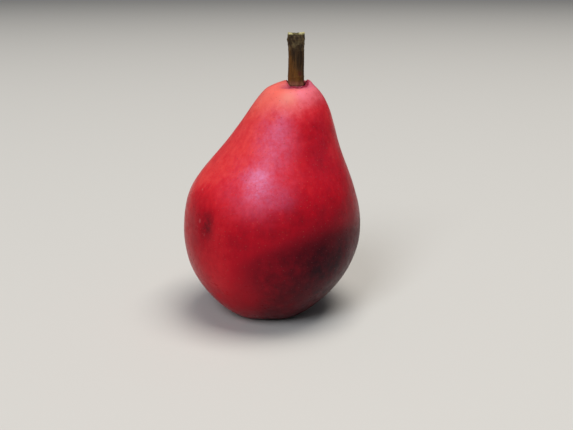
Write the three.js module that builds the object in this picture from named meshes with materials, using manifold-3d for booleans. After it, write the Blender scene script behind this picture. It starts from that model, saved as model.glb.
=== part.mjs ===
// A ripe red pear that stands on its base: the fruit, its woody stem, and the dried calyx in the
// eye underneath. Millimetres, +Z up. The origin is on the surface that the pear stands on, under
// the middle of its belly. Seen from the front, which is -Y, the neck leans to the right.

import * as THREE from "three";
import { mergeVertices } from "three/addons/utils/BufferGeometryUtils.js";
import Module from "manifold-3d";

// Driving sizes, from which the others are worked out.
const bellyDiameter = 80;
const fruitHeight = 104.6; // up to the ring round the crown, on which two lips stand
const stemDiameter = 7;
const stemLength = 21.5; // above that ring
const eyeDepth = 7; // of the hollow underneath
const seatGap = 0.3; // between a piece and the hole that it sits in

// The fruit's outline.
const bellyRadius = bellyDiameter / 2;
const bellyHeight = 0.37 * fruitHeight;
const neckRadius = 0.602 * bellyRadius;
const neckHeight = 0.766 * fruitHeight;
const neckSlope = THREE.MathUtils.degToRad(27.9); // of its side, from upright
const footRadius = 0.34 * bellyRadius; // where it touches the surface
const crownRadius = 4.9; // of the ring round the crown
const dimpleDepth = 2.2; // from that ring down to the stem hole

// How far the fruit's axis wanders sideways.
const neckLean = 8.1; // to the right, at the crown
const leanStart = 0.51 * fruitHeight;
const leanEnd = 0.963 * fruitHeight;
const footShift = -2; // to the left, at the feet
const stemOffset = 2.2; // of the stem and the ring round it, to the right of the crown's middle
const offsetReach = 6.5; // past that ring, where the skin keeps the crown's middle
const crownTilt = 0.035; // rise of the crown to the right, for each millimetre

// Soft relief on the fruit. The waves are shares of its radius.
const bellyWave = 0.01;
const neckWave = 0.012;
const footWave = 0.01;
const footCount = 5;
const footLift = 0.9; // how far the fruit arches up between two feet
const footFlat = 0.45; // how far each foot is flattened
const eyeFolds = 10;
const eyeFoldHeight = 0.3;
const crownFolds = 7;
const crownFoldHeight = 0.2;
const lipHeight = 0.9; // of the two lips that rise left and right of the stem
const lipReach = 5; // of the lips, either way from the ring round the crown
const gapDepth = 1.7; // of the wide gap between them, in front of the stem
const gapReach = 8; // of that gap, either way from the same ring
const seatReach = 1.1; // round the stem hole, where the relief dies out

// The holes that the stem and the calyx sit in.
const stemRadius = stemDiameter / 2;
const stemHoleRadius = stemRadius + seatGap;
const stemHoleTop = fruitHeight - dimpleDepth;
const stemHoleFloor = stemHoleTop - 6;
const calyxRadius = 2.9;
const calyxHoleRadius = calyxRadius + seatGap;
const calyxHoleRoof = eyeDepth + 2;

const fruitSides = 72;
const stemSides = 28;
const sepalSides = 8;

// Eases from 0 to 1 as x does.
function smooth(x) {
  const t = THREE.MathUtils.clamp(x, 0, 1);
  return t * t * (3 - 2 * t);
}

// 1 in the middle of a band, easing to 0 at its edges.
function band(x, middle, halfWidth) {
  return 1 - smooth(Math.abs(x - middle) / halfWidth);
}

// The ring that a function makes from each of a number of angles.
function ring(sides, pointAt) {
  return Array.from({ length: sides }, (_, side) => pointAt((2 * Math.PI * side) / sides));
}

// A closed solid through rings of points, from the point `start` to the point `end`. Each ring has
// the same number of points and runs anticlockwise as seen from `end`.
function loft(start, rings, end) {
  const sides = rings[0].length;
  const points = [start, ...rings.flat(), end];
  const index = [];
  const at = (row, side) => 1 + row * sides + (side % sides);
  const last = points.length - 1;
  const topRow = rings.length - 1;
  for (let side = 0; side < sides; side++) {
    index.push(0, at(0, side + 1), at(0, side));
    for (let row = 0; row < topRow; row++) {
      const [a, b] = [at(row, side), at(row, side + 1)];
      const [c, d] = [at(row + 1, side), at(row + 1, side + 1)];
      index.push(a, b, d, a, d, c);
    }
    index.push(last, at(topRow, side), at(topRow, side + 1));
  }
  return new THREE.BufferGeometry().setFromPoints(points).setIndex(index);
}

// Outline curves, through pairs of a radius and a height.
function bezier(...pairs) {
  return new THREE.CubicBezierCurve(...pairs.map((pair) => new THREE.Vector2(...pair)));
}

function line(...pairs) {
  return new THREE.LineCurve(...pairs.map((pair) => new THREE.Vector2(...pair)));
}

// The sideways place of the fruit's axis at a height.
function axisAt(height) {
  const lean = neckLean * smooth((height - leanStart) / (leanEnd - leanStart));
  return lean + footShift * smooth(1 - height / bellyHeight);
}

const calyxAxis = axisAt(0);
const stemAxis = axisAt(fruitHeight) + stemOffset;

// The fruit's outline in stretches, from the calyx hole out over a foot, up the flank and down into
// the stem hole, with the number of steps in each. Where `axisHeight` is given, the whole stretch
// keeps the axis of that height.
function fruitStretches() {
  const upNeck = new THREE.Vector2(-Math.sin(neckSlope), Math.cos(neckSlope));
  const neckAt = (along) => [neckRadius + along * upNeck.x, neckHeight + along * upNeck.y];
  const crownAt = (outwards) => [crownRadius + outwards, fruitHeight];
  const calyxWall = line([calyxHoleRadius, calyxHoleRoof], [calyxHoleRadius, eyeDepth]);
  const eye = bezier(
    [calyxHoleRadius, eyeDepth],
    [0.58 * footRadius, eyeDepth],
    [0.68 * footRadius, 0],
    [footRadius, 0],
  );
  const underside = bezier(
    [footRadius, 0],
    [1.49 * footRadius, 0],
    [bellyRadius, 0.445 * bellyHeight],
    [bellyRadius, bellyHeight],
  );
  const flank = bezier(
    [bellyRadius, bellyHeight],
    [bellyRadius, 1.552 * bellyHeight],
    neckAt(-17.1),
    neckAt(0),
  );
  const neck = bezier(neckAt(0), neckAt(12.5), crownAt(9.3), crownAt(0));
  const dimple = bezier(
    crownAt(0),
    crownAt(-1),
    [1.1 * stemHoleRadius, stemHoleTop + 0.3],
    [stemHoleRadius, stemHoleTop],
  );
  const stemWall = line([stemHoleRadius, stemHoleTop], [stemHoleRadius, stemHoleFloor]);
  return [
    { curve: calyxWall, steps: 1, axisHeight: 0 },
    { curve: eye, steps: 9, axisHeight: 0 },
    { curve: underside, steps: 13 },
    { curve: flank, steps: 11 },
    { curve: neck, steps: 9 },
    { curve: dimple, steps: 5, axisHeight: fruitHeight },
    { curve: stemWall, steps: 1, axisHeight: fruitHeight },
  ];
}

// How far the skin is moved up or down, on and near its feet and its crown.
function liftAt(radius, height, angle) {
  if (height <= eyeDepth) {
    const feet = Math.sin(footCount * angle);
    const arch = band(radius, footRadius, 0.75 * footRadius) * ((footLift * (1 - feet)) / 2 - footFlat);
    const fold = band(radius, footRadius / 2, footRadius / 4) * eyeFoldHeight * Math.cos(eyeFolds * angle);
    return arch + fold;
  }
  const offSeat = smooth((radius - stemHoleRadius) / seatReach);
  const onTop = smooth(1 - (fruitHeight - height) / 15);
  const fold = band(radius, crownRadius, crownRadius / 2) * crownFoldHeight * Math.cos(crownFolds * angle);
  // The lips stand beside the stem and a little behind it, and the gap takes up the front.
  const towardsBack = Math.sin(angle);
  const lip = band(radius, crownRadius, lipReach) * lipHeight * band(towardsBack, 0.1, 0.9);
  const gap = band(radius, crownRadius, gapReach) * gapDepth * smooth((-0.05 - towardsBack) / 0.65);
  return offSeat * onTop * (crownTilt * radius * Math.cos(angle) + fold + lip - gap);
}

// One point of the fruit's skin, with its soft relief. Both holes stay round.
function skinPoint(radius, height, axisHeight, angle) {
  const offSeat = smooth((radius - stemHoleRadius) / crownRadius);
  const wave =
    bellyWave * band(height, bellyHeight, bellyHeight) * Math.sin(2 * angle) +
    neckWave * band(height, neckHeight, bellyHeight / 2) * Math.sin(3 * angle) +
    footWave * band(height, 0, bellyHeight) * Math.sin(footCount * angle);
  const reach = radius * (1 + offSeat * wave);
  const nearStem = height > neckHeight ? 1 - smooth((radius - crownRadius) / offsetReach) : 0;
  return new THREE.Vector3(
    axisAt(axisHeight) + stemOffset * nearStem + reach * Math.cos(angle),
    reach * Math.sin(angle),
    Math.max(0, height + liftAt(radius, height, angle)),
  );
}

function fruitGeometry() {
  const rings = [];
  fruitStretches().forEach(({ curve, steps, axisHeight }, stretch) => {
    for (let step = stretch ? 1 : 0; step <= steps; step++) {
      const { x: radius, y: height } = curve.getPoint(step / steps);
      rings.push(ring(fruitSides, (angle) => skinPoint(radius, height, axisHeight ?? height, angle)));
    }
  });
  const roof = new THREE.Vector3(calyxAxis, 0, calyxHoleRoof);
  const floor = new THREE.Vector3(stemAxis, 0, stemHoleFloor);
  return loft(roof, rings, floor);
}

// The stem's radius, as a share of its usual one, at shares of its length: a plug in the fruit, a
// shank that thickens slightly above the skin, and a flared end where it came off the branch.
const plugShare = 0.2;
const stemShape = [
  [0, 1],
  [plugShare, 1],
  [0.24, 1],
  [0.31, 1.03],
  [0.4, 1.01],
  [0.52, 0.98],
  [0.66, 0.97],
  [0.76, 0.99],
  [0.86, 1.06],
  [0.94, 1.08],
  [1, 1.02],
];

function stemGeometry() {
  const foot = stemHoleFloor + seatGap;
  const top = fruitHeight + stemLength;
  const outline = new THREE.SplineCurve(stemShape.map((pair) => new THREE.Vector2(...pair)));
  const ringAt = (share, size, drop) =>
    ring(stemSides, (angle) => {
      const free = smooth((share - plugShare) / 0.1);
      const ribs = 0.035 * Math.sin(3 * angle + 1.2 * share) + 0.025 * Math.cos(5 * angle);
      const reach = stemRadius * size * (1 + free * ribs);
      const sway = -0.15 * Math.sin(Math.PI * free * share);
      // The torn end stands highest at its back.
      const torn = smooth((share - 0.9) / 0.1) * (0.3 * Math.sin(angle) + 0.1 * Math.cos(2 * angle) - 0.1);
      return new THREE.Vector3(
        stemAxis + sway + reach * Math.cos(angle),
        reach * Math.sin(angle),
        foot + share * (top - foot) + torn - drop,
      );
    });
  const rings = [];
  const steps = 24;
  for (let step = 0; step <= steps; step++) {
    const { x: share, y: size } = outline.getPoint(step / steps);
    rings.push(ringAt(share, share < plugShare ? 1 : size, 0));
  }
  rings.push(ringAt(1, 0.78, 0.1), ringAt(1, 0.5, 0.4));
  return loft(new THREE.Vector3(stemAxis, 0, foot), rings, new THREE.Vector3(stemAxis, 0, top - 0.5));
}

const wasm = await Module();
wasm.setup();

// A closed geometry as a solid that can be joined to others.
function solidFrom(geometry) {
  const merged = mergeVertices(geometry);
  return new wasm.Manifold(
    new wasm.Mesh({
      numProp: 3,
      vertProperties: new Float32Array(merged.attributes.position.array),
      triVerts: new Uint32Array(merged.index.array),
    }),
  );
}

function geometryFrom(solid) {
  const { vertProperties, triVerts } = solid.getMesh();
  const geometry = new THREE.BufferGeometry();
  geometry.setAttribute("position", new THREE.BufferAttribute(vertProperties, 3));
  return geometry.setIndex(new THREE.BufferAttribute(triVerts, 1));
}

// One dried sepal: a pointed blade that hangs down in the eye and curls outwards. `turn` is its
// place round the eye, and `size` lets each of them differ.
function sepalGeometry(turn, size) {
  const width = 4.2 * size;
  const thickness = 0.9;
  const steps = 9;
  const root = new THREE.Vector3(1.8, 0, eyeDepth + 0.4);
  const tip = new THREE.Vector3(3 + 4.2 * size, 0, 1.9);
  const spine = new THREE.CubicBezierCurve3(
    root,
    new THREE.Vector3(2.6, 0, eyeDepth - 2.2),
    new THREE.Vector3(3.6, 0, 2.4),
    tip,
  );
  const outwards = new THREE.Vector3(Math.cos(turn), Math.sin(turn), 0);
  const across = new THREE.Vector3(-Math.sin(turn), Math.cos(turn), 0);
  const place = (out, aside, height) =>
    outwards.clone().multiplyScalar(out).addScaledVector(across, aside).setZ(height);
  const rings = [];
  for (let step = 0; step < steps; step++) {
    const share = step / steps;
    const at = spine.getPoint(share);
    const along = spine.getTangent(share);
    const halfWidth = (width / 2) * Math.sqrt(1 - share) * (0.8 + 0.4 * share);
    rings.push(
      ring(sepalSides, (angle) => {
        const arch = 0.5 * Math.cos(angle) ** 2;
        const through = (thickness / 2) * (1 - 0.5 * share) * Math.sin(angle) - arch;
        return place(at.x - through * along.z, halfWidth * Math.cos(angle), at.z + through * along.x);
      }),
    );
  }
  return loft(place(root.x, 0, root.z), rings, place(tip.x, 0, tip.z));
}

// The calyx: a short plug in the eye, with five sepals round its rim.
function calyxGeometry() {
  const sepalSizes = [1, 0.86, 0.95, 1.05, 0.9];
  const top = calyxHoleRoof - seatGap;
  const plugOutline = [
    [0, eyeDepth - 1.2],
    [1.4, eyeDepth - 0.9],
    [calyxRadius - 0.4, eyeDepth - 0.5],
    [calyxRadius, eyeDepth + 0.2],
    [calyxRadius, top],
    [0, top],
  ];
  const plug = new THREE.LatheGeometry(plugOutline.map((pair) => new THREE.Vector2(...pair)), 20);
  plug.deleteAttribute("normal");
  plug.deleteAttribute("uv");
  plug.rotateX(Math.PI / 2);
  let calyx = solidFrom(plug);
  sepalSizes.forEach((size, sepal) => {
    const turn = (2 * Math.PI * (sepal + 0.5)) / sepalSizes.length;
    calyx = calyx.add(solidFrom(sepalGeometry(turn, size)));
  });
  return geometryFrom(calyx).translate(calyxAxis, 0, 0);
}

function piece(name, geometry, color, roughness) {
  const mesh = new THREE.Mesh(geometry, new THREE.MeshStandardMaterial({ color, roughness, metalness: 0 }));
  mesh.name = name;
  return mesh;
}

const pear = new THREE.Group();
pear.add(
  piece("fruit", fruitGeometry(), 0xa81c2a, 0.4),
  piece("stem", stemGeometry(), 0x4a3319, 0.85),
  piece("calyx", calyxGeometry(), 0x2e2114, 0.95),
);

export default pear;
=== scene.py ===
import math

import bpy
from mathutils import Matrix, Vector, noise


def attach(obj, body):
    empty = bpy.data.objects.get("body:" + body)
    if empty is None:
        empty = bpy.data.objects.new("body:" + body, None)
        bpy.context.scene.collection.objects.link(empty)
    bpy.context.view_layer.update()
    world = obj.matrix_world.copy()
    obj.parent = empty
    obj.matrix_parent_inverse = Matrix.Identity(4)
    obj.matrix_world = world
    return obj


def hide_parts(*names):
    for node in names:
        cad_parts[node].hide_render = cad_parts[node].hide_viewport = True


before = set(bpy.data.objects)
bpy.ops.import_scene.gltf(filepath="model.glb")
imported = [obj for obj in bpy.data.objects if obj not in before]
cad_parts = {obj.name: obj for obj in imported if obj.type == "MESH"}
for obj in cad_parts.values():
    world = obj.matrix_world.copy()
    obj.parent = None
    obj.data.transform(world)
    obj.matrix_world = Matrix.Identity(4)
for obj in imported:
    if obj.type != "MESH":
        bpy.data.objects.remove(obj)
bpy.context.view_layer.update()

# The pear's own sizes are in millimetres, and every mesh is made in metres from them.
mm = 0.001


# Small helpers for meshes and nodes

def smooth(x):
    t = min(max(x, 0.0), 1.0)
    return t * t * (3 - 2 * t)


def band(x, middle, halfWidth):
    return 1 - smooth(abs(x - middle) / halfWidth)


def bezierPoint(points, t):
    weights = ((1 - t) ** 3, 3 * (1 - t) ** 2 * t, 3 * (1 - t) * t * t, t ** 3)
    return [sum(w * p[axis] for w, p in zip(weights, points)) for axis in range(len(points[0]))]


def straightLine(start, end):
    # a straight stretch, as the four points of a curve
    def between(share):
        return [start[axis] + (end[axis] - start[axis]) * share / 3 for axis in (0, 1)]
    return start, between(1), between(2), end


def anglesRound(sides):
    return [2 * math.pi * side / sides for side in range(sides)]


def loftMesh(name, start, rings, end):
    # start and end close the two ends; rings run anticlockwise as seen from end
    sides = len(rings[0])
    points = [start] + [point for ring in rings for point in ring] + [end]
    faces = []
    for side in range(sides):
        after = (side + 1) % sides
        faces.append((0, 1 + after, 1 + side))
        for row in range(len(rings) - 1):
            low, high = 1 + row * sides, 1 + (row + 1) * sides
            faces.append((low + side, low + after, high + after, high + side))
        top = 1 + (len(rings) - 1) * sides
        faces.append((len(points) - 1, top + side, top + after))
    mesh = bpy.data.meshes.new(name)
    mesh.from_pydata([(x * mm, y * mm, z * mm) for x, y, z in points], [], faces)
    mesh.shade_smooth()
    return mesh


def objectFrom(name, mesh):
    made = bpy.data.objects.new(name, mesh)
    bpy.context.scene.collection.objects.link(made)
    return made


def feed(socket, value):
    if isinstance(value, bpy.types.NodeSocket):
        socket.id_data.links.new(value, socket)
    else:
        socket.default_value = value


def treeOf(*values):
    # the node tree of the first socket among the values
    return next(value.id_data for value in values if isinstance(value, bpy.types.NodeSocket))


def addNode(tree, kind, inputs=None, **settings):
    made = tree.nodes.new(kind)
    for name, value in settings.items():
        setattr(made, name, value)
    for name, value in (inputs or {}).items():
        feed(made.inputs[name], value)
    return made


def calc(operation, *values):
    made = addNode(treeOf(*values), "ShaderNodeMath", dict(enumerate(values)), operation=operation)
    return made.outputs[0]


def product(first, *others):
    for other in others:
        first = calc("MULTIPLY", first, other)
    return first


def vectorCalc(operation, first, second=(0.0, 0.0, 0.0)):
    inputs = {0: first, "Scale" if operation == "SCALE" else 1: second}
    outputs = addNode(treeOf(first), "ShaderNodeVectorMath", inputs, operation=operation).outputs
    return outputs["Value" if operation in ("DOT_PRODUCT", "LENGTH") else "Vector"]


def axesOf(vector):
    return addNode(treeOf(vector), "ShaderNodeSeparateXYZ", {"Vector": vector}).outputs


def ease(value, low, high, toLow=0.0, toHigh=1.0):
    return addNode(
        treeOf(value), "ShaderNodeMapRange",
        {"Value": value, "From Min": low, "From Max": high, "To Min": toLow, "To Max": toHigh},
        interpolation_type="SMOOTHSTEP",
    ).outputs["Result"]


# Geometry Nodes

socketKinds = {float: "Float", int: "Int", tuple: "Vector"}


def runTree(name, source, addNodes, values):
    # the values are the inputs of a new tree, and its result on the source is a mesh of its own
    tree = bpy.data.node_groups.new(name, "GeometryNodeTree")
    tree.interface.new_socket("Geometry", in_out="INPUT", socket_type="NodeSocketGeometry")
    inputs = {}
    for inputName, value in values.items():
        kind = "NodeSocket" + socketKinds.get(type(value), "Material")
        inputs[inputName] = tree.interface.new_socket(inputName, in_out="INPUT", socket_type=kind)
    tree.interface.new_socket("Geometry", in_out="OUTPUT", socket_type="NodeSocketGeometry")

    # every tree ends in real faces with their material
    given = tree.nodes.new("NodeGroupInput").outputs
    realized = addNode(tree, "GeometryNodeRealizeInstances", {"Geometry": addNodes(tree, given)})
    shaded = addNode(tree, "GeometryNodeSetShadeSmooth", {"Geometry": realized.outputs[0]})
    painted = addNode(tree, "GeometryNodeSetMaterial", {
        "Geometry": shaded.outputs[0], "Material": given["Material"],
    })
    feed(tree.nodes.new("NodeGroupOutput").inputs[0], painted.outputs[0])

    modifier = source.modifiers.new(name, "NODES")
    modifier.node_group = tree
    for inputName, value in values.items():
        modifier[inputs[inputName].identifier] = value
    graph = bpy.context.evaluated_depsgraph_get()
    mesh = bpy.data.meshes.new_from_object(source.evaluated_get(graph), depsgraph=graph)
    source.modifiers.remove(modifier)
    mesh.name = name
    return objectFrom(name, mesh)


def randomValue(low, high, seed):
    inputs = {2: low, 3: high, "Seed": seed}
    return addNode(treeOf(seed), "FunctionNodeRandomValue", inputs, data_type="FLOAT").outputs[1]


def heightInTree(tree):
    # in metres
    return axesOf(addNode(tree, "GeometryNodeInputPosition").outputs[0])["Z"]


def scatterPoints(given, share):
    # points on the source's faces: Spacing in millimetres, Density on a square centimetre
    return addNode(
        treeOf(share), "GeometryNodeDistributePointsOnFaces",
        {
            "Mesh": given["Geometry"],
            "Distance Min": product(given["Spacing"], mm),
            "Density Max": product(given["Density"], 1e4),
            "Density Factor": share,
            "Seed": given["Seed"],
        },
        distribute_method="POISSON",
    ).outputs


def placeBeads(tree, points, rotation, scale):
    # one small bead of 20 faces at each point; scale is in millimetres
    bead = addNode(tree, "GeometryNodeMeshIcoSphere", {"Radius": mm, "Subdivisions": 1})
    return addNode(tree, "GeometryNodeInstanceOnPoints", {
        "Points": points, "Instance": bead.outputs["Mesh"], "Rotation": rotation, "Scale": scale,
    }).outputs[0]


# Materials

def paint(code):
    # "c0ffee" as the linear colour that Blender's sockets take
    parts = [int(code[i:i + 2], 16) / 255 for i in (0, 2, 4)]
    return tuple(p / 12.92 if p <= 0.04045 else ((p + 0.055) / 1.055) ** 2.4 for p in parts) + (1.0,)


def newMaterial(name):
    # with its surface and the place on the piece in millimetres
    material = bpy.data.materials.new(name)
    material.use_nodes = True
    tree = material.node_tree
    where = addNode(tree, "ShaderNodeTexCoord").outputs["Object"]
    where = addNode(tree, "ShaderNodeMapping", {"Vector": where, "Scale": (1 / mm,) * 3}).outputs[0]
    return material, tree.nodes["Principled BSDF"], where


def colourRamp(value, stops):
    made = addNode(treeOf(value), "ShaderNodeValToRGB", {"Fac": value})
    elements = made.color_ramp.elements
    while len(elements) < len(stops):
        elements.new(0.5)
    for element, (position, code) in zip(elements, stops):
        element.position = position
        element.color = paint(code)
    return made.outputs["Color"]


def blendColour(share, *colours):
    first, second = (paint(value) if isinstance(value, str) else value for value in colours)
    inputs = {"Factor": share, 6: first, 7: second}
    made = addNode(treeOf(share), "ShaderNodeMix", inputs, data_type="RGBA", blend_type="MIX")
    return made.outputs[2]


def grain(where, size, detail=2.0, roughness=0.5, stretch=(1.0, 1.0, 1.0)):
    # noise round 0.5 whose lumps are about size millimetres across; stretch draws them out
    tree, scale = treeOf(where), tuple(1 / (size * s) for s in stretch)
    placed = addNode(tree, "ShaderNodeMapping", {"Vector": where, "Scale": scale}).outputs[0]
    return addNode(tree, "ShaderNodeTexNoise", {
        "Vector": placed, "Scale": 1.0, "Detail": detail, "Roughness": roughness,
    }).outputs["Fac"]


def unevenness(*grainValues):
    # the same noise, round zero
    return calc("SUBTRACT", grain(*grainValues), 0.5)


def spot(where, centre, radii, edge):
    # 1 inside an ellipsoid, easing to 0 at its surface
    shrunk = vectorCalc("DIVIDE", vectorCalc("SUBTRACT", where, centre), radii)
    return ease(vectorCalc("LENGTH", shrunk), edge, 1.0, 1.0, 0.0)


def besideAxis(where, axisX):
    # the level distance from an upright line at axisX
    moved = vectorCalc("SUBTRACT", where, (axisX, 0.0, 0.0))
    return vectorCalc("LENGTH", vectorCalc("MULTIPLY", moved, (1.0, 1.0, 0.0)))


def addBump(surface, height, strength):
    # height is in millimetres
    inputs = {"Strength": strength, "Distance": 1.0, "Height": product(height, mm)}
    feed(surface.inputs["Normal"], addNode(treeOf(height), "ShaderNodeBump", inputs).outputs[0])


# The fruit's skin

fruitHeight = 104.6          # of the ring round the crown, on which the lips stand

skinSettings = {
    "bellyRadius": 40.0,
    "height": fruitHeight,
    "bellyHeight": 0.37 * fruitHeight,
    "neckRadius": 24.08,
    "neckHeight": 0.766 * fruitHeight,
    "neckSlope": 27.9,        # degrees from upright
    "footRadius": 13.6,
    "crownRadius": 4.9,
    "crownDepth": 15.0,       # the crown's unevenness dies out this far down
    "neckLean": 8.1,          # to the right
    "leanStart": 0.51 * fruitHeight,
    "leanEnd": 0.963 * fruitHeight,
    "footShift": -2.0,
    "stemOffset": 2.2,
    "offsetReach": 6.5,
    "crownTilt": 0.035,
    "crownFolds": ((7, 0.0, 0.2), (17, 0.7, 0.08)),    # how many, their twist and height
    "lipHeight": 0.9,
    "lipReach": 5.0,
    "gapDepth": 1.7,          # of the gap between the lips, in front of the stem
    "gapReach": 8.0,
    "seatReach": 1.1,
    "eyeDepth": 7.0,
    "eyeFolds": ((10, 0.0, 0.3), (23, 0.5, 0.12)),
    "footCount": 5,
    "footLift": 0.9,          # between two feet, before footFlat is taken off everywhere
    "footFlat": 0.45,         # what then lies below the floor is cut off level
    "bellyWave": 0.01,        # each wave is a share of the radius
    "neckWave": 0.012,
    "footWave": 0.01,
    "inset": 0.04,            # the skin lies this far inside the CAD solid
    "calyxHole": 3.2,
    "calyxRoof": 9.0,
    "stemHole": 3.8,
    "stemHoleTop": 102.4,
    "stemHoleFloor": 96.4,
    "closing": 1.8,           # how far the skin rises to the stem on its left
    "closingStart": 98.0,
    "dentCentre": (-27.6, -28.4, 48.6),
    "dentReach": 6.5,
    "dentDepth": 0.5,
    "dentShape": 0.62,        # below 1, the knock is taller than it is wide
    "sides": 288,
    # from the darkest to the palest red
    "reds": (
        (0.0, "2a0509"), (0.2, "5b0811"), (0.4, "8a0c19"), (0.6, "ad0e1d"),
        (0.8, "cc222a"), (1.0, "e44741"),
    ),
    "middle": 0.79,
    "middleHeight": 75.0,
    # painted light: the red is paler to the upper left and upwards, where the light falls
    "across": -0.0085,        # change of the red for each millimetre to the right
    "acrossRange": (-10.0, 21.0),
    "upwards": 0.003,
    # painted light and shade: the belly is painted darker than the neck, which faces up to the light
    "bellyShadeStep": 0.14,        # the neck is paler than the belly by this
    "bellyHeights": (50.0, 66.0),
    "bellyWander": 12.0,
    "redUnevenness": (0.3, 0.17, 0.32),    # of the patches, the streaks and the mottle
    # the dark plum side low down on the right: partly the fruit's darker blush and partly painted shade,
    # away from the light
    "plumDepth": 0.26,
    "plumAlong": (1.0, -0.3, 0.0),
    "plumEdge": (-12.0, 8.0),
    "plumUpwards": (-0.34, 0.4, 1.0),
    "plumHeights": (20.5, 32.5),
    "plumUnevenness": (16.0, 8.0, 10.0),
    "plumTurn": (-26.0, 4.0),    # from the front to the side
    "plumWander": 60.0,
    "plumSoftness": 0.4,
    "plumBack": (-20.0, 25.0),
    "plumBackShare": 0.6,
    # the paler cap, partly painted top light, with a painted highlight on its front
    "crownLeft": "eb7263",
    "crownRight": "ea7c88",
    "crownHighlight": "e68a7a",
    "crownHighlightPlace": (6.5, -13.0, 99.5),
    "crownHighlightRadii": (6.0, 8.0, 5.5),
    "crownShare": 0.78,
    "crownHeights": (89.5, 102.5),
    "crownDrop": 5.5,         # it starts this much higher on the right
    "crownDropRange": (9.0, 24.0),
    # place, radii, share and colour of each part of the lilac: the first is a faint waxy bloom over most
    # of the fruit, the rest a painted highlight down the neck and on the upper belly
    "bloomAndHighlight": (
        ((0.0, -6.0, 84.0), (70.0, 70.0, 52.0), 0.024, "c896c0"),
        ((-6.0, -31.0, 66.0), (22.0, 21.0, 21.0), 0.13, "c494c4"),
        ((0.5, -22.0, 86.0), (14.0, 15.0, 26.0), 0.19, "cc9ccc"),
        ((1.5, -33.0, 62.0), (12.0, 14.0, 7.5), 0.11, "946e9a"),
        ((-6.5, -30.5, 68.0), (9.5, 13.0, 11.0), 0.28, "d6a2d4"),
        ((-4.6, -29.5, 70.0), (4.5, 8.0, 5.0), 0.16, "f0a0c4"),
    ),
    # painted shade round the stem, and the eye's own colour
    "topHeights": (92.0, 98.0),
    # painted shade in the fold in front of the stem, and a painted shadow in the socket round it
    "fold": "ac4a62",
    "foldShadeShare": 0.75,
    "foldShadeReach": (5.5, 10.0),
    "socketShadow": "7a1426",
    "socketShadowReach": (3.9, 4.9),
    "socketShadowWider": 1.4,         # in front
    "eye": "7a5230",
    "eyeReach": (5.0, 13.0),
    "eyeHeights": (8.0, 12.0),
    "dot": "d8826a",
    "dotShare": 0.16,
    "bruise": "4c0a12",
    "bruiseShare": 0.7,
    "bruiseRadii": (5.6, 5.6, 10.0),
    # place, radii and depth of the darker and paler clouds: partly uneven red, partly painted shade and
    # light, such as the shaded left belly and the lit lower left
    "toneAndShadeClouds": (
        ((-31.0, -22.0, 51.0), (15.0, 18.0, 17.0), -0.17),
        ((17.0, -18.0, 84.0), (11.0, 13.0, 13.0), -0.1),
        ((26.0, -12.0, 78.0), (7.0, 9.0, 12.0), 0.08),
        ((14.5, -14.0, 93.5), (9.0, 11.0, 6.0), 0.11),
        ((24.0, -6.0, 93.0), (7.0, 10.0, 9.0), 0.1),
        ((-21.0, -33.0, 29.0), (16.0, 15.0, 14.0), 0.07),
        ((-6.0, -33.0, 19.0), (11.0, 12.0, 14.0), 0.08),
        ((-14.0, -35.0, 47.0), (10.0, 12.0, 9.0), -0.07),
        ((18.0, -23.0, 73.0), (10.0, 12.0, 11.0), -0.08),
        ((27.0, -25.0, 59.0), (9.0, 12.0, 9.0), 0.06),
        ((-36.0, 8.0, 30.0), (14.0, 15.0, 13.0), -0.09),
        ((-24.0, 28.0, 44.0), (15.0, 14.0, 20.0), -0.16),
        ((12.0, 30.0, 66.0), (14.0, 14.0, 18.0), -0.1),
    ),
    # the colour of the small scuffs, and each one's place, radii and share
    "scuff": "cf7f80",
    "scuffs": (
        ((-30.6, -24.8, 49.8), (0.9, 0.9, 1.3), 0.26),
        ((-28.8, -27.9, 44.6), (0.8, 0.8, 1.2), 0.2),
        ((-29.7, -17.6, 61.8), (0.5, 0.6, 1.6), 0.35),
        ((17.2, -27.4, 59.5), (0.8, 1.4, 0.7), 0.5),
    ),
    # the colour of the dull brown blotches, and each one's place, radii and share
    "blotch": "5a1a1c",
    "blotches": (
        ((15.2, -18.0, 84.0), (2.6, 3.4, 2.2), 0.4),
        ((17.6, -17.6, 79.2), (2.0, 3.0, 1.8), 0.45),
        ((22.0, -11.0, 80.5), (2.4, 3.0, 2.6), 0.4),
        ((18.0, -27.0, 57.6), (1.8, 2.4, 2.8), 0.4),
        ((5.0, -37.0, 49.0), (4.2, 3.0, 3.2), 0.3),
    ),
    # its gloss
    "roughness": (0.26, 0.46),
    "surface": {
        "Specular IOR Level": 0.42,
        "IOR": 1.22,
        "Specular Tint": paint("d0d2ff"),
        "Subsurface Weight": 0.06,
        "Subsurface Radius": (1.0, 0.25, 0.15),
        "Subsurface Scale": 0.002,
    },
    "grainHeight": 0.03,
    "poreDepth": 0.02,
    "bump": 0.8,
    # the inputs of its Geometry Nodes tree
    "relief": {
        "Lump size": 15.0,
        "Lump depth": 0.22,
        "Grain size": 3.2,
        "Grain depth": 0.05,
        "Seed": 4.0,
    },
}


def axisAt(height):
    s = skinSettings
    lean = s["neckLean"] * smooth((height - s["leanStart"]) / (s["leanEnd"] - s["leanStart"]))
    return lean + s["footShift"] * smooth(1 - height / s["bellyHeight"])


stemAxis = axisAt(fruitHeight) + skinSettings["stemOffset"]
calyxAxis = axisAt(0)


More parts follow.
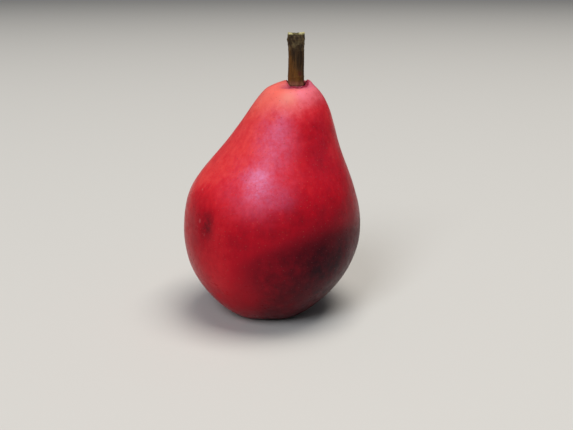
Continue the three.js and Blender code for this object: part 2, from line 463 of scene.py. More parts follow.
def fruitOutline():
    # the radius and height of each ring, with the height whose axis it takes
    s = skinSettings
    slope = math.radians(s["neckSlope"])
    belly, bellyHigh, foot = s["bellyRadius"], s["bellyHeight"], s["footRadius"]
    roof, eyeRim = (s["calyxHole"], s["calyxRoof"]), (s["calyxHole"], s["eyeDepth"])
    hole, holeTop = s["stemHole"], s["stemHoleTop"]

    def neck(along):
        return s["neckRadius"] - along * math.sin(slope), s["neckHeight"] + along * math.cos(slope)

    def crown(outwards):
        return s["crownRadius"] + outwards, s["height"]

    # four points of a curve, its number of steps, and the height whose axis it takes, or None where
    # each ring takes that of its own height
    stretches = (
        (straightLine(roof, eyeRim), 4, 0.0),
        ((eyeRim, (0.58 * foot, s["eyeDepth"]), (0.68 * foot, 0), (foot, 0)), 30, 0.0),
        (((foot, 0), (1.49 * foot, 0), (belly, 0.445 * bellyHigh), (belly, bellyHigh)), 56, None),
        (((belly, bellyHigh), (belly, 1.552 * bellyHigh), neck(-17.1), neck(0)), 50, None),
        ((neck(0), neck(12.5), crown(9.3), crown(0)), 46, None),
        ((crown(0), crown(-1.0), (1.1 * hole, holeTop + 0.3), (hole, holeTop)), 16, s["height"]),
        (straightLine((hole, holeTop), (hole, s["stemHoleFloor"])), 4, s["height"]),
    )
    outline = []
    for number, (curve, steps, axisHeight) in enumerate(stretches):
        for step in range(1 if number else 0, steps + 1):
            radius, height = bezierPoint(curve, step / steps)
            outline.append((radius, height, height if axisHeight is None else axisHeight))
    return outline


def foldsAt(folds, radius, angle):
    return sum(height * math.cos(count * angle + twist * radius) for count, twist, height in folds)


def skinLift(radius, height, angle):
    s = skinSettings
    foot, crown = s["footRadius"], s["crownRadius"]
    if height <= s["eyeDepth"]:
        feet = math.sin(s["footCount"] * angle)
        arch = band(radius, foot, 0.75 * foot) * (s["footLift"] * (1 - feet) / 2 - s["footFlat"])
        return arch + band(radius, foot / 2, foot / 4) * foldsAt(s["eyeFolds"], radius, angle)
    offSeat = smooth((radius - s["stemHole"]) / s["seatReach"])
    onTop = smooth(1 - (s["height"] - height) / s["crownDepth"])
    fold = band(radius, crown, crown / 2) * foldsAt(s["crownFolds"], radius, angle)
    # two lips rise left and right of the stem, with a wide gap between them in front
    towardsBack = math.sin(angle)
    lip = band(radius, crown, s["lipReach"]) * s["lipHeight"] * band(towardsBack, 0.1, 0.9)
    gap = band(radius, crown, s["gapReach"]) * s["gapDepth"] * smooth((-0.05 - towardsBack) / 0.65)
    return offSeat * onTop * (s["crownTilt"] * radius * math.cos(angle) + fold + lip - gap)


def skinClosing(radius, height, angle):
    # on the left the skin closes up to the stem
    s = skinSettings
    offHole = smooth((radius - s["stemHole"]) / s["seatReach"])
    onLeft = smooth((-math.cos(angle) - 0.55) / 0.45)
    return s["closing"] * (1 - offHole) * onLeft * smooth((height - s["closingStart"]) / 4)


def skinPoint(radius, height, axisHeight, angle):
    s = skinSettings
    bellyHigh = s["bellyHeight"]
    offSeat = smooth((radius - s["stemHole"]) / s["crownRadius"])
    wave = (
        s["bellyWave"] * band(height, bellyHigh, bellyHigh) * math.sin(2 * angle)
        + s["neckWave"] * band(height, s["neckHeight"], bellyHigh / 2) * math.sin(3 * angle)
        + s["footWave"] * band(height, 0, bellyHigh) * math.sin(s["footCount"] * angle)
    )
    reach = radius * (1 + offSeat * wave) - s["inset"] * offSeat
    nearStem = 0.0
    if height > s["neckHeight"]:
        nearStem = 1 - smooth((radius - s["crownRadius"]) / s["offsetReach"])
    closing = skinClosing(radius, height, angle) if axisHeight == s["height"] else 0.0
    point = Vector((
        axisAt(axisHeight) + s["stemOffset"] * nearStem + reach * math.cos(angle),
        reach * math.sin(angle),
        max(0.0, height + skinLift(radius, height, angle) + closing),
    ))
    # the old knock on the left flank is pressed in towards the axis
    away = point - Vector(s["dentCentre"])
    away.z *= s["dentShape"]
    press = s["dentDepth"] * smooth(1 - away.length / s["dentReach"])
    return point - press * Vector((math.cos(angle), math.sin(angle), 0.0))


def redToneAndLight(where, axes, unevenParts):
    # partly painted light and shade: from orange where the light falls at the upper left to crimson at
    # the right and under the shoulder
    s = skinSettings
    left, right = s["acrossRange"]
    across = calc("MINIMUM", calc("MAXIMUM", axes["X"], left), right)
    tone = calc("MULTIPLY_ADD", across, s["across"], s["middle"])
    above = calc("SUBTRACT", axes["Z"], s["middleHeight"])
    tone = calc("MULTIPLY_ADD", above, s["upwards"], tone)
    wavyHeight = calc("MULTIPLY_ADD", unevenParts[0], s["bellyWander"], axes["Z"])
    # painted shade on the belly below the lit neck
    tone = calc("SUBTRACT", tone, ease(wavyHeight, *s["bellyHeights"], s["bellyShadeStep"], 0.0))
    for part, depth in zip(unevenParts, s["redUnevenness"]):
        tone = calc("MULTIPLY_ADD", part, depth, tone)
    # clouds of uneven red and of painted shade and light
    for centre, radii, depth in s["toneAndShadeClouds"]:
        tone = calc("MULTIPLY_ADD", spot(where, centre, radii, 0.1), depth, tone)
    return tone


def plumAndShadeShare(where, axes, unevenParts):
    # 1 in the dark plum part, low on the right, which is partly darker blush and partly painted shade
    s = skinSettings
    plum = vectorCalc("DOT_PRODUCT", where, s["plumAlong"])
    top = vectorCalc("DOT_PRODUCT", where, s["plumUpwards"])
    for part, depth in zip(unevenParts, s["plumUnevenness"]):
        plum = calc("MULTIPLY_ADD", part, depth, plum)
        top = calc("MULTIPLY_ADD", part, -0.7 * depth, top)
    # its edge wanders and softens round the side and the back
    wander = unevenness(where, 26, 3.0)
    wander = product(wander, ease(axes["Y"], *s["plumTurn"], 0.0, s["plumWander"]))
    low, high = s["plumHeights"]
    middle = (low + high) / 2
    top = calc("SUBTRACT", calc("ADD", top, wander), middle)
    softer = ease(axes["Y"], *s["plumTurn"], 1.0, s["plumSoftness"])
    top = calc("MULTIPLY_ADD", top, softer, middle)
    return product(
        ease(plum, *s["plumEdge"]),
        ease(top, low, high, 1.0, 0.0),
        ease(axes["Y"], *s["plumBack"], 1.0, s["plumBackShare"]),
    )


def addCapWithPaintedLight(where, axes, unevenParts, colour):
    # a paler cap, partly painted top light, salmon on the left and pinker on the right
    s = skinSettings
    patches, mottle = unevenParts[0], unevenParts[2]
    rightwards = calc("MULTIPLY_ADD", mottle, 14.0, axes["X"])
    cap = blendColour(ease(rightwards, 2.0, 16.0), s["crownLeft"], s["crownRight"])
    # a painted highlight on the crown's front
    cap = blendColour(spot(where, s["crownHighlightPlace"], s["crownHighlightRadii"], 0.1), cap, s["crownHighlight"])
    height = calc("MULTIPLY_ADD", mottle, 7.0, calc("MULTIPLY_ADD", patches, 6.0, axes["Z"]))
    # on the right, away from the light, the painted light starts higher
    drop = ease(axes["X"], *s["crownDropRange"], 0.0, s["crownDrop"])
    height = calc("SUBTRACT", height, drop)
    return blendColour(ease(height, *s["crownHeights"], 0.0, s["crownShare"]), colour, cap)


def addBloomAndHighlight(where, colour):
    # the waxy bloom and the painted highlight are lilac where they are thick, and rubbed through in small
    # spots
    coarse = product(grain(where, 9.0, 2.0), 0.8)
    rubbed = calc("ADD", grain(where, 1.3, 4.0, 0.7), coarse)
    rubbed = ease(rubbed, 0.6, 1.2, 0.35, 1.25)
    for centre, radii, share, lilac in skinSettings["bloomAndHighlight"]:
        bloomAndHighlightShare = product(rubbed, share, spot(where, centre, radii, 0.05))
        colour = blendColour(bloomAndHighlightShare, colour, lilac)
    return colour


def addRings(where, axes, colour):
    # a mauve painted shade in the fold in front of the stem, a wine-red painted shadow in the socket
    # round it, and a dull brown eye
    s = skinSettings
    fromStem = besideAxis(where, stemAxis)
    onTop = ease(axes["Z"], *s["topHeights"])
    forwards = calc("MULTIPLY_ADD", axes["X"], 0.3, product(axes["Y"], -1.0))
    inFront = ease(forwards, 2.5, 6.0)
    fold = product(ease(fromStem, *s["foldShadeReach"], s["foldShadeShare"], 0.0), inFront, onTop)
    colour = blendColour(fold, colour, s["fold"])
    reach = calc("MULTIPLY_ADD", inFront, -s["socketShadowWider"], fromStem)
    socketShadowMask = product(
        ease(reach, *s["socketShadowReach"], 1.0, 0.0),
        onTop,
        # the painted shadow is faint on the left, towards the light
        ease(axes["X"], stemAxis - 4.5, stemAxis - 1.0, 0.1, 1.0),
        ease(grain(where, 1.2, 3.0), 0.3, 0.6, 0.6, 1.0),
    )
    colour = blendColour(socketShadowMask, colour, s["socketShadow"])
    inEye = product(
        ease(besideAxis(where, calyxAxis), *s["eyeReach"], 1.0, 0.0),
        ease(axes["Z"], *s["eyeHeights"], 1.0, 0.0),
        ease(grain(where, 1.6, 4.0, 0.65), 0.35, 0.62, 0.4, 0.95),
    )
    return blendColour(inEye, colour, s["eye"])


def addMarks(where, colour):
    # the knock's dark bruise, dull blotches and small scuffs
    s = skinSettings
    ragged = ease(grain(where, 1.7, 4.0, 0.65), 0.34, 0.58, 0.35, 1.0)
    bruise = spot(where, s["dentCentre"], s["bruiseRadii"], 0.05)
    colour = blendColour(product(bruise, ragged, s["bruiseShare"]), colour, s["bruise"])
    for centre, radii, share in s["blotches"]:
        blotch = product(ragged, share, spot(where, centre, radii, 0.1))
        colour = blendColour(blotch, colour, s["blotch"])
    for centre, radii, share in s["scuffs"]:
        scuff = product(spot(where, centre, radii, 0.3), share)
        colour = blendColour(scuff, colour, s["scuff"])
    return colour


def skinFinish(surface, where, fromDot):
    s = skinSettings
    coarse = product(grain(where, 11, 3.0), 0.4)
    wax = calc("MULTIPLY_ADD", grain(where, 2.4, 5.0, 0.7), 0.6, coarse)
    feed(surface.inputs["Roughness"], ease(wax, 0.36, 0.64, *s["roughness"]))
    for name, value in s["surface"].items():
        surface.inputs[name].default_value = value
    # the finest grain of the skin, and the pores at its dots
    fine = product(grain(where, 0.6, 4.0, 0.65), s["grainHeight"])
    pores = ease(fromDot, 0.0, 0.2, s["poreDepth"], 0.0)
    addBump(surface, calc("SUBTRACT", fine, pores), s["bump"])


def skinMaterial():
    material, surface, where = newMaterial("pearSkin")
    s = skinSettings
    axes = axesOf(where)
    unevenParts = (
        unevenness(where, 20, 2.0),                              # patches
        unevenness(where, 2.2, 3.0, 0.6, (1.0, 1.0, 6.0)),       # upright streaks
        unevenness(where, 3.2, 5.0, 0.66),                       # mottle
    )
    # the red, with painted light and shade
    tone = redToneAndLight(where, axes, unevenParts)
    plum = plumAndShadeShare(where, axes, unevenParts)
    # the plum side darkens the red: partly darker blush, partly painted shade
    colour = colourRamp(calc("MULTIPLY_ADD", plum, -s["plumDepth"], tone), s["reds"])
    # a paler cap with painted top light and a painted highlight
    colour = addCapWithPaintedLight(where, axes, unevenParts, colour)
    # a faint waxy bloom and a painted lilac highlight
    colour = addBloomAndHighlight(where, colour)
    # painted shade round the stem, and the eye
    colour = addRings(where, axes, colour)

    # pale dots lie deeper in the skin than the beads that stand on it
    dots = addNode(treeOf(where), "ShaderNodeTexVoronoi", {
        "Vector": where, "Scale": 0.6, "Randomness": 1.0,
    })
    fromDot = dots.outputs["Distance"]
    # the pale dots fade on the plum side, which is partly painted shade
    inPlum = ease(plum, 0.0, 1.0, 1.0, 0.35)
    dotShare = product(ease(fromDot, 0.06, 0.17, s["dotShare"], 0.0), inPlum)
    colour = blendColour(dotShare, colour, s["dot"])

    feed(surface.inputs["Base Color"], addMarks(where, colour))
    skinFinish(surface, where, fromDot)
    return material


def reliefNodes(tree, given):
    # soft lumps and a fine grain, pressed inwards only and left out under the feet
    where = vectorCalc("SCALE", addNode(tree, "GeometryNodeInputPosition").outputs[0], 1 / mm)
    depths = []
    for size, depth in (("Lump size", "Lump depth"), ("Grain size", "Grain depth")):
        scale = calc("DIVIDE", 1.0, given[size])
        lumps = addNode(
            tree, "ShaderNodeTexNoise",
            {"Vector": where, "W": given["Seed"], "Scale": scale, "Detail": 1.0},
            noise_dimensions="4D",
        ).outputs[0]
        depths.append(calc("MULTIPLY", ease(lumps, 0.25, 0.75), given[depth]))
    height = axesOf(where)["Z"]
    total = product(
        calc("ADD", *depths),
        ease(height, 1.0, 9.0),
        ease(height, 100.0, 104.0, 1.0, 0.15),
        -mm,
    )
    inwards = vectorCalc("SCALE", addNode(tree, "GeometryNodeInputNormal").outputs[0], total)
    inputs = {"Geometry": given["Geometry"], "Offset": inwards}
    return addNode(tree, "GeometryNodeSetPosition", inputs).outputs[0]


def makeSkin():
    s = skinSettings
    angles = anglesRound(s["sides"])
    rings = [[skinPoint(r, h, axisHeight, a) for a in angles] for r, h, axisHeight in fruitOutline()]
    roof, floor = (calyxAxis, 0, s["calyxRoof"]), (stemAxis, 0, s["stemHoleFloor"])
    base = objectFrom("skinBase", loftMesh("skinBase", roof, rings, floor))
    skin = runTree("skin", base, reliefNodes, {**s["relief"], "Material": skinMaterial()})
    bpy.data.objects.remove(base)
    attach(skin, "root")
    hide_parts("fruit")
    print("skin", len(skin.data.polygons), "faces")
    return skin


# The dots on the skin

dotSettings = {
    "colours": ((0.3, "7c1b26"), (0.5, "942a2e"), (0.72, "a4483f")),
    # the beads are darker low on the right, partly painted shade with the plum side
    "dark": "4a1218",         # low on the right, where the skin is plum
    "roughness": (0.5, 0.7),
    # the inputs of their Geometry Nodes tree
    "spread": {
        "Spacing": 2.1,       # least distance between two dots
        "Density": 20.0,      # on a square centimetre, before the spacing thins them
        "Smallest": 0.08,
        "Largest": 0.2,
        "Flatness": 0.22,
        "Lowest": 6.0,        # none below this height
        "Highest": 103.5,
        "Seed": 11,
    },
}


def dotNodes(tree, given):
    height = heightInTree(tree)
    above = calc("GREATER_THAN", height, product(given["Lowest"], mm))
    below = calc("LESS_THAN", height, product(given["Highest"], mm))
    spread = scatterPoints(given, product(above, below))
    wide = randomValue(given["Smallest"], given["Largest"], given["Seed"])
    scale = addNode(tree, "ShaderNodeCombineXYZ", {
        "X": wide, "Y": wide, "Z": product(wide, given["Flatness"]),
    }).outputs[0]
    return placeBeads(tree, spread["Points"], spread["Rotation"], scale)


def dotMaterial():
    material, surface, where = newMaterial("skinDot")
    tone = grain(where, 6.0, 3.0)
    colour = colourRamp(tone, dotSettings["colours"])
    # partly painted shade: the beads darken low on the right
    lowRight = vectorCalc("DOT_PRODUCT", where, (1.0, -0.3, -1.0))
    colour = blendColour(ease(lowRight, -50.0, -8.0, 0.0, 0.8), colour, dotSettings["dark"])
    feed(surface.inputs["Base Color"], colour)
    feed(surface.inputs["Roughness"], ease(tone, 0.3, 0.7, *dotSettings["roughness"]))
    return material


def makeDots(skin):
    dots = runTree("skinDots", skin, dotNodes, {**dotSettings["spread"], "Material": dotMaterial()})
    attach(dots, "root")
    print("skin dots", len(dots.data.polygons), "faces")


# The stem

stemSettings = {
    "radius": 3.5,
    "foot": 96.7,
    "top": 126.1,
    "plugShare": 0.2,         # the share of its length that sits in the fruit
    # shares of the length, with the radius there as a share of the usual one
    "shape": (
        (0, 1), (0.2, 1), (0.24, 1), (0.31, 1.03), (0.4, 1.01), (0.52, 0.98),
        (0.66, 0.97), (0.76, 0.99), (0.86, 1.06), (0.94, 1.08), (1, 1.02),
    ),
    "ribs": (0.035, 0.025),   # of the three wide and the five narrow ones, as shares of the radius
    "furrows": 0.19,
    "fineFurrows": 0.1,
    "pits": 0.14,
    "inset": 0.12,            # the bark is made this much thinner before its relief is added
    "scars": ((0.355, 0.1), (0.735, 0.09), (0.815, 0.13), (0.895, 0.1)),    # share and height
    "scarWidth": 0.011,
    "upperShare": 0.82,       # the bark is rougher from here on
    "upperRoughness": 0.22,
    "knob": (0.885, 0.03, 0.3),    # share, width and height of the small knob on the left
    "bend": -0.15,
    "topLean": -0.25,
    "tornDrop": -0.55,
    "jag": 0.22,
    # the torn end dips towards its pith: the size and drop of each ring
    "endRings": (
        (0.94, 0.02), (0.86, 0.08), (0.76, 0.16), (0.64, 0.24),
        (0.5, 0.32), (0.36, 0.4), (0.22, 0.55), (0.1, 0.75),
    ),
    "pithDrop": 0.9,
    "sides": 144,
    "rings": 190,
    "bark": ((0.25, "1e1309"), (0.45, "362615"), (0.6, "47321b"), (0.78, "604826")),
    "gold": ((0.25, "3c240c"), (0.45, "5d3c16"), (0.62, "70481c"), (0.78, "87612a")),
    "mottled": ((0.36, "1c150c"), (0.5, "3d3121"), (0.62, "65573c")),
    "end": ((0.34, "3a331c"), (0.5, "80774c"), (0.68, "c6bd8a")),
    "footTan": ((0.3, "6b3830"), (0.5, "936049"), (0.7, "a87a58")),
    "patch": "4a1a1c",
    "patchPlace": (1.7, -3.0, 108.7),    # to the right of the stem's axis, back, and up
    "patchRadii": (1.7, 2.4, 1.7),
    "seam": "1c110a",
    "seamPlace": 2.7,         # to the right of the stem's axis
    # painted shadow where the stem leaves the skin
    "footShadowLine": "571a1c",
    "roughness": (0.62, 0.85),
    "specularLevel": 0.15,
    "bump": 0.9,
    # the inputs of the flakes' Geometry Nodes tree
    "flakes": {
        "Spacing": 0.62,
        "Density": 180.0,     # on a square centimetre
        "Width": 0.13,
        "Length": 0.5,
        "Thickness": 0.045,
        "Lowest": 104.5,
        "Full": 107.0,        # they thin out from here down
        "Highest": 125.2,
        "Seed": 5,
    },
}


def splinePoint(points, t):
    place = (len(points) - 1) * t
    first = min(int(place), len(points) - 2)
    w = place - first
    p0 = points[max(first - 1, 0)]
    p1, p2 = points[first], points[first + 1]
    p3 = points[min(first + 2, len(points) - 1)]
    result = []
    for axis in (0, 1):
        v0, v1 = (p2[axis] - p0[axis]) / 2, (p3[axis] - p1[axis]) / 2
        result.append(
            (2 * p1[axis] - 2 * p2[axis] + v0 + v1) * w ** 3
            + (-3 * p1[axis] + 3 * p2[axis] - 2 * v0 - v1) * w ** 2 + v0 * w + p1[axis]
        )
    return result


def barkRelief(share, height, around):
    # furrows run along it, pits are short, and the scars of old buds ring it
    s = stemSettings
    furrow = noise.noise(around * 3.4 + Vector((0, 0, height * 0.09)))
    fine = noise.noise(around * 9.0 + Vector((7.0, 0, height * 0.16)))
    pit = noise.noise(around * 4.2 + Vector((0, 5.0, height * 0.75)))
    bark = s["furrows"] * furrow + s["fineFurrows"] * fine - s["pits"] * max(0.0, pit - 0.15)
    for scarShare, scarHeight in s["scars"]:
        wander = 0.012 * noise.noise(around * 1.3 + Vector((0, 0, 40 * scarShare)))
        bark += scarHeight * math.exp(-(((share - scarShare - wander) / s["scarWidth"]) ** 2))
    upper = smooth((share - s["upperShare"]) / 0.14) * s["upperRoughness"]
    return bark + upper * noise.noise(around * 2.6 + Vector((3.0, 0, height * 0.55)))


def stemPoint(share, size, angle, inset=1.0, drop=0.0):
    s = stemSettings
    free = smooth((share - s["plugShare"]) / 0.1)
    wide, narrow = s["ribs"]
    ribs = wide * math.sin(3 * angle + 1.2 * share) + narrow * math.cos(5 * angle)
    height = s["foot"] + share * (s["top"] - s["foot"])
    around = Vector((math.cos(angle), math.sin(angle), 0.0))
    relief = free * (barkRelief(share, height, around) - s["inset"])
    knobShare, knobWidth, knobHeight = s["knob"]
    onLeft = max(0.0, -math.cos(angle)) ** 3
    knob = knobHeight * math.exp(-(((share - knobShare) / knobWidth) ** 2)) * onLeft
    reach = (s["radius"] * size * (1 + free * ribs) + relief + knob) * inset
    sway = s["bend"] * math.sin(math.pi * free * share) + s["topLean"] * smooth((share - 0.6) / 0.4)
    # the torn end is highest at the left and the right
    tilt = 0.15 * math.sin(angle) + 0.3 * math.cos(2 * angle) + s["tornDrop"]
    torn = smooth((share - 0.9) / 0.1) * (tilt + 0.3 * noise.noise(around * 2.2)) * inset
    jag = 0.0
    if share >= 1:
        jag = s["jag"] * noise.noise(around * (5.5 * inset) + Vector((0, 9.0, inset * 6)))
    return (
        stemAxis + sway + reach * math.cos(angle),
        reach * math.sin(angle),
        height + torn + jag - drop,
    )


def stemMaterial():
    material, surface, where = newMaterial("stemBark")
    s = stemSettings
    axes = axesOf(where)
    height = axes["Z"]
    fibres = grain(where, 0.75, 4.0, 0.65, (1.0, 1.0, 10.0))
    blotches = grain(where, 2.3, 4.0, 0.6, (1.0, 1.0, 1.6))

    # golden brown low down on the left, greyer and darker towards the top and the right
    across = calc("MULTIPLY_ADD", axes["X"], -0.17, 0.17 * stemAxis)
    low = ease(height, 105.0, 117.0, 0.6, -0.3)
    patchy = calc("MULTIPLY_ADD", blotches, 0.8, -0.4)
    golden = calc("ADD", calc("ADD", across, low), patchy)
    bark, gold = colourRamp(fibres, s["bark"]), colourRamp(fibres, s["gold"])
    colour = blendColour(ease(golden, -0.15, 0.45), bark, gold)

    # a dark seam runs up it, right of its middle
    fromSeam = calc("SUBTRACT", axes["X"], stemAxis + s["seamPlace"])
    fromSeam = calc("ABSOLUTE", calc("MULTIPLY_ADD", fibres, 1.6, fromSeam))
    seam = product(
        ease(fromSeam, 0.15, 0.9, 0.6, 0.0),
        calc("LESS_THAN", axes["Y"], 0.0),
        ease(height, 108.0, 114.0, 0.35, 1.0),
    )
    colour = blendColour(seam, colour, s["seam"])

    # the upper third is mottled dark and grey, and the torn end is pale wood at its sides
    upper = ease(calc("MULTIPLY_ADD", blotches, 4.0, height), 119.5, 123.5)
    upper = product(upper, 0.85)
    colour = blendColour(upper, colour, colourRamp(blotches, s["mottled"]))
    end = ease(calc("MULTIPLY_ADD", fibres, 0.8, height), 125.2, 125.9)
    sideways = calc("ABSOLUTE", calc("SUBTRACT", axes["X"], stemAxis + s["topLean"]))
    endTone = calc("SUBTRACT", grain(where, 1.1, 3.0), 0.1)
    endTone = calc("MULTIPLY_ADD", ease(sideways, 0.6, 2.4), 0.22, endTone)
    colour = blendColour(product(end, 0.9), colour, colourRamp(endTone, s["end"]))

    # its foot is a rosy tan with a dark red patch above, and a painted shadow line where it leaves the
    # skin
    patchX, patchY, patchZ = s["patchPlace"]
    patch = spot(where, (stemAxis + patchX, patchY, patchZ), s["patchRadii"], 0.2)
    colour = blendColour(product(patch, 0.65), colour, s["patch"])
    foot = ease(calc("MULTIPLY_ADD", blotches, 1.6, height), 104.6, 107.2, 0.85, 0.0)
    colour = blendColour(foot, colour, colourRamp(fibres, s["footTan"]))
    # painted shadow in the crease at the stem's foot
    colour = blendColour(ease(height, 103.0, 104.3, 0.9, 0.0), colour, s["footShadowLine"])

    feed(surface.inputs["Base Color"], colour)
    feed(surface.inputs["Roughness"], ease(blotches, 0.3, 0.7, *s["roughness"]))
    surface.inputs["Specular IOR Level"].default_value = s["specularLevel"]
    relief = calc("ADD", product(fibres, 0.09), product(blotches, 0.08))
    addBump(surface, relief, s["bump"])
    return material


def flakeNodes(tree, given):
    # small scales of bark that lie along the stem
    height = heightInTree(tree)
    lowest, full, highest = (product(given[name], mm) for name in ("Lowest", "Full", "Highest"))
    free = product(ease(height, lowest, full), calc("LESS_THAN", height, highest))
    spread = scatterPoints(given, free)
    # the scale's Z faces out of the bark, and its Y is turned to run up the stem
    outwards = addNode(tree, "FunctionNodeAlignRotationToVector", {"Vector": spread["Normal"]}, axis="Z")
    upwards = addNode(
        tree, "FunctionNodeAlignRotationToVector",
        {"Rotation": outwards.outputs[0], "Vector": (0.0, 0.0, 1.0)},
        axis="Y", pivot_axis="Z",
    )
    vary = randomValue(0.5, 1.35, given["Seed"])
    scale = addNode(tree, "ShaderNodeCombineXYZ", {
        "X": product(given["Width"], vary),
        "Y": product(given["Length"], vary),
        "Z": given["Thickness"],
    }).outputs[0]
    return placeBeads(tree, spread["Points"], upwards.outputs[0], scale)


def makeStem():
    s = stemSettings
    angles = anglesRound(s["sides"])
    rings = []
    for step in range(s["rings"] + 1):
        share, size = splinePoint(s["shape"], step / s["rings"])
        size = 1 if share < s["plugShare"] else size
        rings.append([stemPoint(share, size, a) for a in angles])
    for inset, drop in s["endRings"]:
        rings.append([stemPoint(1, s["shape"][-1][1], a, inset, drop) for a in angles])
    foot, pith = (stemAxis, 0, s["foot"]), (stemAxis, 0, s["top"] - s["pithDrop"])
    mesh = loftMesh("stemBark", foot, rings, pith)
    stem = objectFrom("stemBark", mesh)
    bark = stemMaterial()
    mesh.materials.append(bark)
    flakes = runTree("barkFlakes", stem, flakeNodes, {**s["flakes"], "Material": bark})
    for piece in (stem, flakes):
        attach(piece, "root")
    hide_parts("stem")
    print("stem", len(mesh.polygons), "faces, flakes", len(flakes.data.polygons))


# The dried calyx

calyxSettings = {
    "cupRadius": 2.9,
    "cupSides": 48,
    "cupFloor": 6.3,
    "cupTop": 8.7,
    "cupCrumple": 7.5,        # it is wrinkled up to this height
    # its outline: shares of its radius, and heights
    "cupOutline": (
        (0.12, 6.2), (0.28, 5.95), (0.45, 6.15), (0.62, 6.5), (0.78, 6.6), (0.9, 6.65),
        (0.98, 6.9), (1.0, 7.3), (1.0, 8.0), (1.0, 8.6), (0.97, 8.7), (0.5, 8.7),
    ),
    # a sepal's middle line: outwards from the eye's axis, and heights
    "bladeLine": ((1.9, 7.3), (2.7, 4.6), (3.5, 2.6), (7.1, 2.0)),
    "bladeWidth": 4.1,
    "bladeThickness": 0.5,
    "bladeArch": 0.5,
    "bladeKeel": (0.18, 0.35),     # height and width
    "tipAside": 0.5,
    "bladeSteps": 26,
    "bladeSides": 20,
    "stamenLength": 3.2,
    "stamenRadius": 0.09,
    "stamenBend": 0.5,
    "antherShare": 0.78,
    "antherSwell": 0.13,
    "stamenSteps": 10,
    "stamenSides": 6,
    "stamenHeight": 6.7,      # of their roots
    # the darkest, middle and palest colour of each
    "sepalColours": ("1a110a", "3a2817", "6b5233"),
    "stamenColours": ("2a1c10", "54402a", "8d7550"),
    # the inputs of each ring's Geometry Nodes tree
    "sepals": {
        "Count": 5,
        "Ring radius": 0.0,
        "Smallest": 0.86,
        "Largest": 1.04,
        "Lean": 0.0,
        "Sway": 0.16,         # radians that a sepal may be off its place
        "Start": math.pi / 5,
        "Seed": 3,
    },
    "stamens": {
        "Count": 18,
        "Ring radius": 1.5,
        "Smallest": 0.7,
        "Largest": 1.1,
        "Lean": 0.35,
        "Sway": 0.2,
        "Start": 0.0,
        "Seed": 8,
    },
}


def bladeMesh():
    # one sepal, pointing to +X: it hangs from the cup's rim and curls outwards
    c = calyxSettings
    keelHeight, keelWidth = c["bladeKeel"]
    rings = []
    for step in range(c["bladeSteps"]):
        share = step / c["bladeSteps"]
        x, z = bezierPoint(c["bladeLine"], share)
        ahead = bezierPoint(c["bladeLine"], share + 0.01)
        along = Vector((ahead[0] - x, 0, ahead[1] - z)).normalized()
        out = Vector((-along.z, 0, along.x))
        half = c["bladeWidth"] / 2 * math.sqrt(1 - share) * (0.8 + 0.4 * share)
        ring = []
        for a in anglesRound(c["bladeSides"]):
            across = half * math.cos(a)
            crease = 0.16 * math.sin(3.1 * across + 5 * share)
            crease += 0.12 * noise.noise(Vector((across, 6 * share, 2.0)))
            keel = keelHeight * math.exp(-((across / keelWidth) ** 2))
            arch = c["bladeArch"] * math.cos(a) ** 2 * (1 - 0.8 * share)
            through = c["bladeThickness"] / 2 * (1 - 0.55 * share) * math.sin(a)
            through += crease * (0.3 + share) - keel - arch
            point = Vector((x, across, z)) + out * through
            ring.append((point.x, point.y + c["tipAside"] * share * share, point.z))
        rings.append(ring)
    root, tip = c["bladeLine"][0], c["bladeLine"][-1]
    return loftMesh("sepalBlade", (root[0], 0, root[1]), rings, (tip[0], c["tipAside"], tip[1]))


def filamentMesh():
    # one dried stamen, rooted at the origin and pointing down, with its shrunken anther
    c = calyxSettings
    rings = []
    for step in range(c["stamenSteps"] + 1):
        share = step / c["stamenSteps"]
        radius = c["stamenRadius"]
        if share >= c["antherShare"]:
            radius += c["antherSwell"] * math.sin(math.pi * (share - c["antherShare"]) / 0.24)
        bend = c["stamenBend"] * share ** 2
        ring = []
        for a in anglesRound(c["stamenSides"]):
            ring.append((bend + radius * math.cos(-a), radius * math.sin(-a), -c["stamenLength"] * share))
        rings.append(ring)
    return loftMesh("stamen", (0, 0, 0.02), rings, (c["stamenBend"] + 0.02, 0, -c["stamenLength"] - 0.08))


def ringNodes(tree, given):
    # copies of a mesh round the eye's axis, each turned, swayed and sized a little differently
    seed = given["Seed"]
    posts = addNode(tree, "GeometryNodeMeshLine", {"Count": given["Count"], "Offset": (0.0, 0.0, 0.0)})
    number = addNode(tree, "GeometryNodeInputIndex").outputs[0]
    turn = product(calc("DIVIDE", number, given["Count"]), 2 * math.pi)
    turn = calc("ADD", turn, given["Start"])
    turn = calc("ADD", turn, product(randomValue(-1.0, 1.0, seed), given["Sway"]))
    reach = product(given["Ring radius"], mm)
    place = addNode(tree, "ShaderNodeCombineXYZ", {
        "X": product(reach, calc("COSINE", turn)),
        "Y": product(reach, calc("SINE", turn)),
    }).outputs[0]
    place = vectorCalc("ADD", place, vectorCalc("SCALE", given["Middle"], mm))
    placed = addNode(tree, "GeometryNodeSetPosition", {"Geometry": posts.outputs[0], "Position": place})
    lean = product(randomValue(-1.0, 0.2, calc("ADD", seed, 1.0)), given["Lean"])
    rotation = addNode(tree, "ShaderNodeCombineXYZ", {"Y": lean, "Z": turn}).outputs[0]
    size = randomValue(given["Smallest"], given["Largest"], calc("ADD", seed, 2.0))
    return addNode(tree, "GeometryNodeInstanceOnPoints", {
        "Points": placed.outputs[0], "Instance": given["Geometry"], "Rotation": rotation, "Scale": size,
    }).outputs[0]


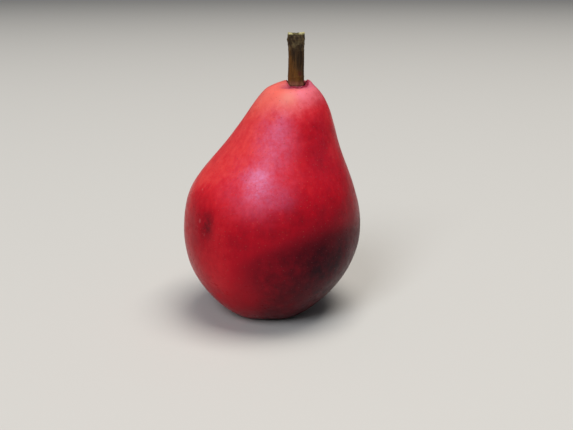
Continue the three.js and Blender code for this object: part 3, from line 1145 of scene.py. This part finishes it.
def dryMaterial(name, dark, middle, pale):
    material, surface, where = newMaterial(name)
    veins = grain(where, 0.6, 4.0, 0.65)
    blotches = grain(where, 2.4, 3.0)
    tone = calc("MULTIPLY_ADD", blotches, 0.5, product(veins, 0.5))
    colour = colourRamp(tone, ((0.36, dark), (0.5, middle), (0.66, pale)))
    feed(surface.inputs["Base Color"], colour)
    feed(surface.inputs["Roughness"], ease(veins, 0.3, 0.7, 0.75, 0.95))
    addBump(surface, product(veins, 0.12), 0.9)
    return material


def cupMesh():
    # the cup between the sepals, wrinkled on its underside
    c = calyxSettings
    rings = []
    for share, height in c["cupOutline"]:
        radius = c["cupRadius"] * share
        ring = []
        for a in anglesRound(c["cupSides"]):
            crumple = 0.0
            if height <= c["cupCrumple"]:
                crumple = 0.12 * math.cos(9 * a)
                crumple += 0.15 * noise.noise(Vector((math.cos(a) * 2, math.sin(a) * 2, radius)))
            ring.append((calyxAxis + radius * math.cos(a), radius * math.sin(a), height + crumple))
        rings.append(ring)
    return loftMesh("calyxCup", (calyxAxis, 0, c["cupFloor"]), rings, (calyxAxis, 0, c["cupTop"]))


def makeCalyx():
    c = calyxSettings
    sepalDry = dryMaterial("driedSepal", *c["sepalColours"])
    blade = objectFrom("sepalBlade", bladeMesh())
    sepals = runTree("sepals", blade, ringNodes, {
        **c["sepals"], "Middle": (calyxAxis, 0.0, 0.0), "Material": sepalDry,
    })
    filament = objectFrom("stamen", filamentMesh())
    stamens = runTree("stamens", filament, ringNodes, {
        **c["stamens"], "Middle": (calyxAxis, 0.0, c["stamenHeight"]),
        "Material": dryMaterial("driedStamen", *c["stamenColours"]),
    })
    bpy.data.objects.remove(blade)
    bpy.data.objects.remove(filament)
    cup = objectFrom("calyxCup", cupMesh())
    cup.data.materials.append(sepalDry)
    for piece in (sepals, stamens, cup):
        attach(piece, "root")
    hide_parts("calyx")
    print("calyx", sum(len(p.data.polygons) for p in (sepals, stamens, cup)), "faces")


# Floor, light and camera

studio = {
    "worldColour": (0.80, 0.86, 0.95, 1.0),
    "worldStrength": 0.12,
    "floorHalf": 6.0,         # half its width, in metres
    "floorColour": "c9c6c0",
    "floorTint": "c9c5be",
    "floorRoughness": 0.75,
    # place in metres, size, power and colour of each soft box
    "lights": {
        "key": ((-1.51, -2.98, 3.01), (1.5, 2.2), 105.0, (0.86, 0.92, 1.0)),
        "top": ((0.6, -0.3, 4.0), (2.4, 2.4), 150.0, (1.0, 0.97, 0.93)),
    },
}

view = {
    "aim": (0.0, 0.0, 0.052),
    "distance": 0.3584,
    "elevation": 16.0,
    "lens": 50.0,
    "sensor": 36.0,
    "shift": (0.0250, -0.0271),
    "clip": (0.01, 20.0),
}


def makeWorld():
    world = bpy.data.worlds.new("studio")
    world.use_nodes = True
    background = world.node_tree.nodes["Background"]
    background.inputs["Color"].default_value = studio["worldColour"]
    background.inputs["Strength"].default_value = studio["worldStrength"]
    bpy.context.scene.world = world


def makeFloor():
    half = studio["floorHalf"]
    corners = [(-half, -half, 0), (half, -half, 0), (half, half, 0), (-half, half, 0)]
    mesh = bpy.data.meshes.new("floor")
    mesh.from_pydata(corners, [], [(0, 1, 2, 3)])
    floor = objectFrom("floor", mesh)
    material, surface, where = newMaterial("floorPaper")
    tint = product(grain(where, 40, 3.0), 0.12)
    colour = blendColour(tint, studio["floorColour"], studio["floorTint"])
    feed(surface.inputs["Base Color"], colour)
    surface.inputs["Roughness"].default_value = studio["floorRoughness"]
    mesh.materials.append(material)


def makeLights():
    for name, (place, size, power, colour) in studio["lights"].items():
        light = bpy.data.lights.new(name, "AREA")
        light.shape = "RECTANGLE"
        light.size, light.size_y = size
        light.energy = power
        light.color = colour
        lamp = bpy.data.objects.new(name, light)
        lamp.location = place
        lamp.rotation_euler = (Vector(place) - Vector(view["aim"])).to_track_quat("Z", "Y").to_euler()
        bpy.context.scene.collection.objects.link(lamp)


def makeCamera():
    scene = bpy.context.scene
    camera = bpy.data.cameras.new("camera")
    camera.lens = view["lens"]
    camera.sensor_width = view["sensor"]
    camera.shift_x, camera.shift_y = view["shift"]
    camera.clip_start, camera.clip_end = view["clip"]
    eye = bpy.data.objects.new("camera", camera)
    tilt = math.radians(view["elevation"])
    back = Vector((0, -math.cos(tilt), math.sin(tilt)))
    eye.location = Vector(view["aim"]) + view["distance"] * back
    eye.rotation_euler = (math.pi / 2 - tilt, 0, 0)
    scene.collection.objects.link(eye)
    scene.camera = eye
    scene.view_settings.view_transform = "Standard"


makeWorld()
makeFloor()
makeLights()
makeCamera()
print("studio ready")
skin = makeSkin()
makeDots(skin)
makeStem()
makeCalyx()
